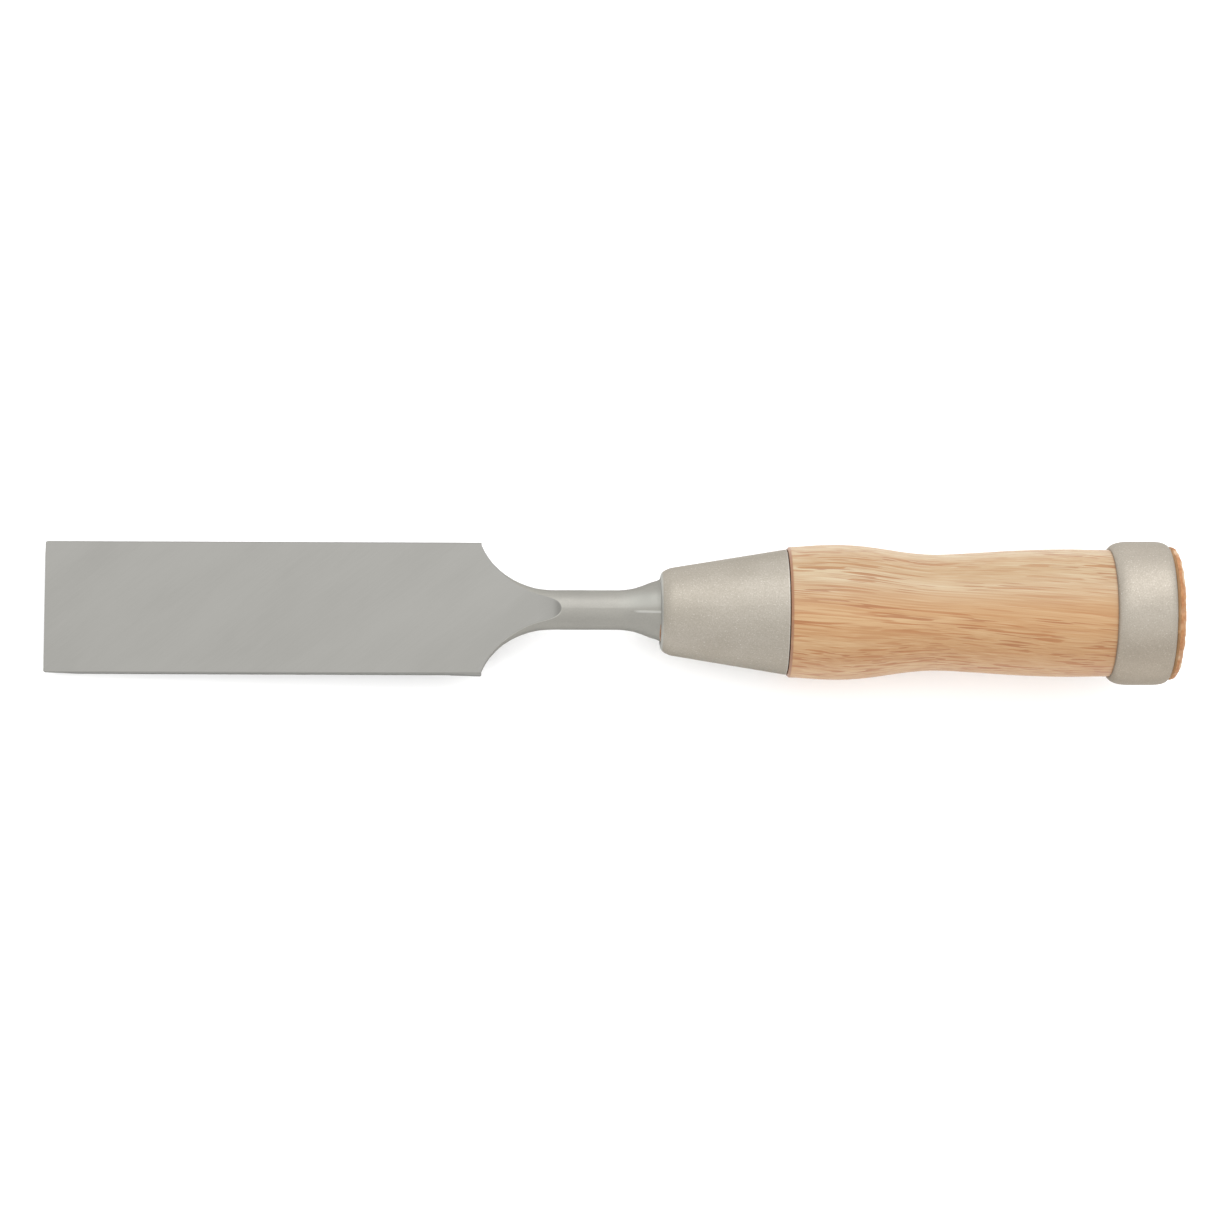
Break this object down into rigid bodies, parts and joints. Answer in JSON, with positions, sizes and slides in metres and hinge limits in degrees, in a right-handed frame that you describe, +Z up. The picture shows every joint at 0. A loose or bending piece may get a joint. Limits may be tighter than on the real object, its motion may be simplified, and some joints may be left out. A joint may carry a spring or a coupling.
{
  "type": "mortise chisel",
  "caption": "Wide flat steel chisel blade with a round neck, conical ferrule, turned wooden handle and a steel striking hoop, lying with its flat back up.",
  "frame": {"origin": "centre of the tool's footprint, on the bench it lies on", "axes": "+X from the cutting edge towards the butt, along the bench; +Y across the blade; +Z up, out of the bench, on the same side as the blade's flat back"},
  "size_m": [0.2762, 0.0352, 0.0416],
  "materials": {
    "blade_steel": "satin ground, clear lacquered",
    "ferrule_steel": "fine blasted, warm grey",
    "handle_wood": "satin lacquered, open pores",
    "hoop_steel": "fine blasted, warm grey"
  },
  "bodies": {
    "root": {"blade": "blade_steel", "ferrule": "ferrule_steel", "handle": "handle_wood", "hoop": "hoop_steel"}
  },
  "joints": []
}
